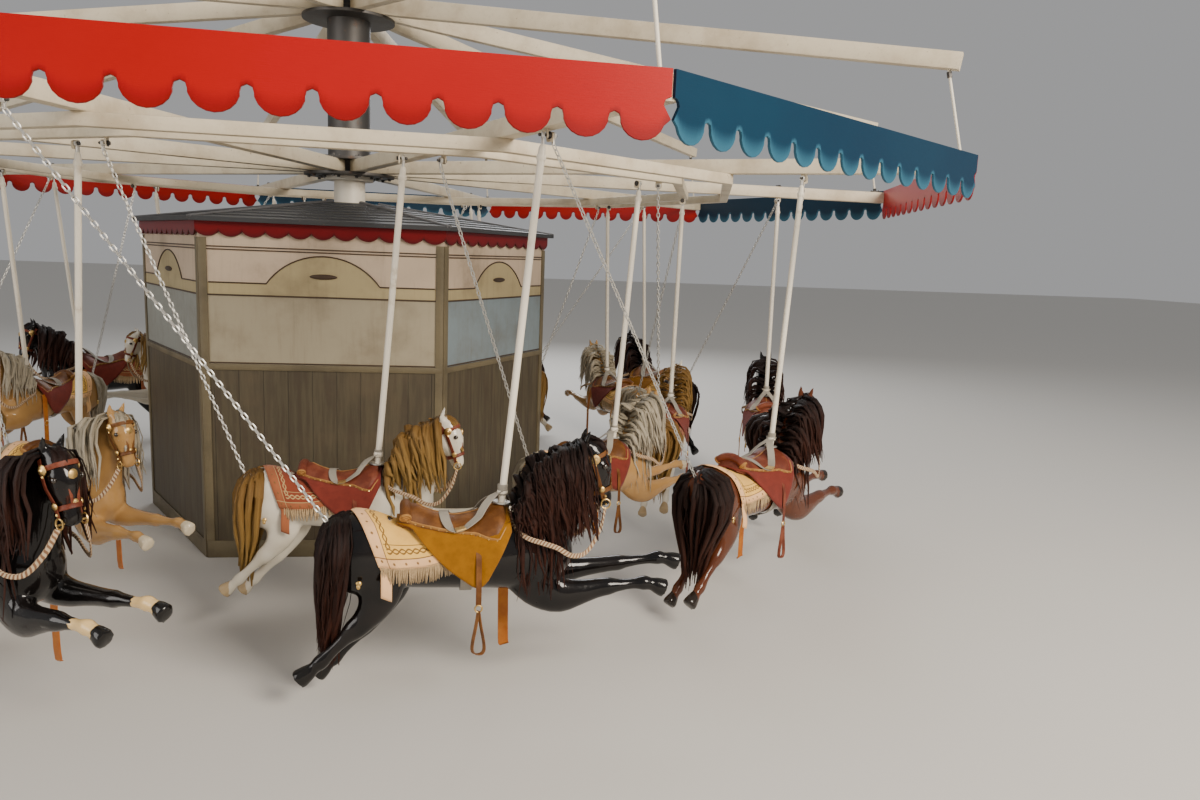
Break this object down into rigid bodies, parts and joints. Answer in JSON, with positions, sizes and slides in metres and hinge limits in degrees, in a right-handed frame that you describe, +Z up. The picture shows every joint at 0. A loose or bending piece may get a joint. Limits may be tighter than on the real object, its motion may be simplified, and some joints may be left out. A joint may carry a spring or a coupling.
{
  "type": "fairground carousel with hung horses",
  "caption": "Ring of timber sweeps on a central mast, with a scalloped rim and carved horses that hang on poles and chains in two rows and swing out as it turns.",
  "frame": {"origin": "on the mast's axis at floor level", "axes": "+Z up; -Y points out through the middle of one bay, whose horses face +X; +X runs out along a sweep"},
  "size_m": [8.5056, 8.0934, 3.9],
  "materials": {
    "iron": "dark greased iron",
    "mast_paint": "white painted steel tube, worn",
    "house_walls": "painted boarding with a plain arch on each side",
    "band_red": "dark red gloss paint",
    "house_roof": "grey painted boards",
    "frame_white": "cream white painted timber",
    "valance_red": "scarlet gloss paint",
    "valance_blue": "dark blue gloss paint",
    "horse_black": "black lacquer on carved wood",
    "horse_white": "cream white lacquer on carved wood",
    "pole_white": "white painted steel tube",
    "chain_steel": "galvanised short-link chain",
    "saddle_leather": "tan leather, rubbed",
    "cloth_mustard": "mustard felt",
    "cloth_ivory": "ivory blanket with tacks and fringe",
    "horsehair": "long hair",
    "horse_bay": "red-brown lacquer on carved wood",
    "horse_cream": "golden cream lacquer on carved wood",
    "golden_hair": "long fair hair",
    "cloth_rust": "rust red blanket and felt",
    "leather_red": "red-brown leather, rubbed",
    "webbing": "grey webbing of the safety belt",
    "brass": "aged brass"
  },
  "bodies": {
    "root": {"mast_foot": "iron", "mast": "mast_paint", "centre_house_walls": "house_walls", "centre_house_band": "band_red", "centre_house_roof": "house_roof"},
    "turning_frame": {"turning_hub": "iron", "outer_ring_beam": "frame_white", "inner_ring_beam": "frame_white", "valance_board_01": "valance_red", "valance_board_02": "valance_blue", "valance_board_03": "valance_red", "valance_board_04": "valance_blue", "valance_board_05": "valance_red", "valance_board_06": "valance_blue", "valance_board_07": "valance_red", "valance_board_08": "valance_blue", "valance_board_09": "valance_red", "valance_board_10": "valance_blue", "sweep_01": "frame_white", "sweep_02": "frame_white", "sweep_03": "frame_white", "sweep_04": "frame_white", "sweep_05": "frame_white", "sweep_06": "frame_white", "sweep_07": "frame_white", "sweep_08": "frame_white", "sweep_09": "frame_white", "sweep_10": "frame_white", "rafter_01": "frame_white", "rafter_02": "frame_white", "rafter_03": "frame_white", "rafter_04": "frame_white", "rafter_05": "frame_white", "rafter_06": "frame_white", "rafter_07": "frame_white", "rafter_08": "frame_white", "rafter_09": "frame_white", "rafter_10": "frame_white"},
    "outer_horse_01": {"outer_horse_01": "horse_black"},
    "outer_horse_02": {"outer_horse_02": "horse_black"},
    "outer_horse_03": {"outer_horse_03": "horse_black"},
    "outer_horse_04": {"outer_horse_04": "horse_black"},
    "outer_horse_05": {"outer_horse_05": "horse_black"},
    "outer_horse_06": {"outer_horse_06": "horse_black"},
    "outer_horse_07": {"outer_horse_07": "horse_black"},
    "outer_horse_08": {"outer_horse_08": "horse_black"},
    "outer_horse_09": {"outer_horse_09": "horse_black"},
    "outer_horse_10": {"outer_horse_10": "horse_black"},
    "inner_horse_01": {"inner_horse_01": "horse_white"},
    "inner_horse_02": {"inner_horse_02": "horse_white"},
    "inner_horse_03": {"inner_horse_03": "horse_white"},
    "inner_horse_04": {"inner_horse_04": "horse_white"},
    "inner_horse_05": {"inner_horse_05": "horse_white"},
    "inner_horse_06": {"inner_horse_06": "horse_white"},
    "inner_horse_07": {"inner_horse_07": "horse_white"},
    "inner_horse_08": {"inner_horse_08": "horse_white"},
    "inner_horse_09": {"inner_horse_09": "horse_white"},
    "inner_horse_10": {"inner_horse_10": "horse_white"}
  },
  "joints": [
    {"name": "frame_spin", "type": "hinge", "parent": "root", "child": "turning_frame", "pos_m": [0, 0, 2.46], "axis": [0, 0, 1], "continuous": true},
    {"name": "outer_swing_01", "type": "hinge", "parent": "turning_frame", "child": "outer_horse_01", "pos_m": [1.00403, -3.16702, 2.455], "axis": [-1, 0, 0], "range_deg": [-5, 15]},
    {"name": "outer_swing_02", "type": "hinge", "parent": "turning_frame", "child": "outer_horse_02", "pos_m": [2.6738, -1.97202, 2.455], "axis": [-0.809, -0.5878, 0], "range_deg": [-5, 15]},
    {"name": "outer_swing_03", "type": "hinge", "parent": "turning_frame", "child": "outer_horse_03", "pos_m": [3.32227, -0.02378, 2.455], "axis": [-0.309, -0.9511, 0], "range_deg": [-5, 15]},
    {"name": "outer_swing_04", "type": "hinge", "parent": "turning_frame", "child": "outer_horse_04", "pos_m": [2.70175, 1.93355, 2.455], "axis": [0.309, -0.9511, 0], "range_deg": [-5, 15]},
    {"name": "outer_swing_05", "type": "hinge", "parent": "turning_frame", "child": "outer_horse_05", "pos_m": [1.04925, 3.15232, 2.455], "axis": [0.809, -0.5878, 0], "range_deg": [-5, 15]},
    {"name": "outer_swing_06", "type": "hinge", "parent": "turning_frame", "child": "outer_horse_06", "pos_m": [-1.00403, 3.16702, 2.455], "axis": [1, 0, 0], "range_deg": [-5, 15]},
    {"name": "outer_swing_07", "type": "hinge", "parent": "turning_frame", "child": "outer_horse_07", "pos_m": [-2.6738, 1.97202, 2.455], "axis": [0.809, 0.5878, 0], "range_deg": [-5, 15]},
    {"name": "outer_swing_08", "type": "hinge", "parent": "turning_frame", "child": "outer_horse_08", "pos_m": [-3.32227, 0.02378, 2.455], "axis": [0.309, 0.9511, 0], "range_deg": [-5, 15]},
    {"name": "outer_swing_09", "type": "hinge", "parent": "turning_frame", "child": "outer_horse_09", "pos_m": [-2.70175, -1.93355, 2.455], "axis": [-0.309, 0.9511, 0], "range_deg": [-5, 15]},
    {"name": "outer_swing_10", "type": "hinge", "parent": "turning_frame", "child": "outer_horse_10", "pos_m": [-1.04925, -3.15232, 2.455], "axis": [-0.809, 0.5878, 0], "range_deg": [-5, 15]},
    {"name": "inner_swing_01", "type": "hinge", "parent": "turning_frame", "child": "inner_horse_01", "pos_m": [0.42718, -2.42263, 2.395], "axis": [-0.9969, 0.0788, 0], "range_deg": [-5, 10.5]},
    {"name": "inner_swing_02", "type": "hinge", "parent": "turning_frame", "child": "inner_horse_02", "pos_m": [1.76958, -1.70886, 2.395], "axis": [-0.8528, -0.5222, 0], "range_deg": [-5, 10.5]},
    {"name": "inner_swing_03", "type": "hinge", "parent": "turning_frame", "child": "inner_horse_03", "pos_m": [2.43606, -0.34237, 2.395], "axis": [-0.383, -0.9238, 0], "range_deg": [-5, 10.5]},
    {"name": "inner_swing_04", "type": "hinge", "parent": "turning_frame", "child": "inner_horse_04", "pos_m": [2.17205, 1.1549, 2.395], "axis": [0.2332, -0.9724, 0], "range_deg": [-5, 10.5]},
    {"name": "inner_swing_05", "type": "hinge", "parent": "turning_frame", "child": "inner_horse_05", "pos_m": [1.07839, 2.21103, 2.395], "axis": [0.7602, -0.6497, 0], "range_deg": [-5, 10.5]},
    {"name": "inner_swing_06", "type": "hinge", "parent": "turning_frame", "child": "inner_horse_06", "pos_m": [-0.42718, 2.42263, 2.395], "axis": [0.9969, -0.0788, 0], "range_deg": [-5, 10.5]},
    {"name": "inner_swing_07", "type": "hinge", "parent": "turning_frame", "child": "inner_horse_07", "pos_m": [-1.76958, 1.70886, 2.395], "axis": [0.8528, 0.5222, 0], "range_deg": [-5, 10.5]},
    {"name": "inner_swing_08", "type": "hinge", "parent": "turning_frame", "child": "inner_horse_08", "pos_m": [-2.43606, 0.34237, 2.395], "axis": [0.383, 0.9238, 0], "range_deg": [-5, 10.5]},
    {"name": "inner_swing_09", "type": "hinge", "parent": "turning_frame", "child": "inner_horse_09", "pos_m": [-2.17205, -1.1549, 2.395], "axis": [-0.2332, 0.9724, 0], "range_deg": [-5, 10.5]},
    {"name": "inner_swing_10", "type": "hinge", "parent": "turning_frame", "child": "inner_horse_10", "pos_m": [-1.07839, -2.21103, 2.395], "axis": [-0.7602, 0.6497, 0], "range_deg": [-5, 10.5]}
  ]
}
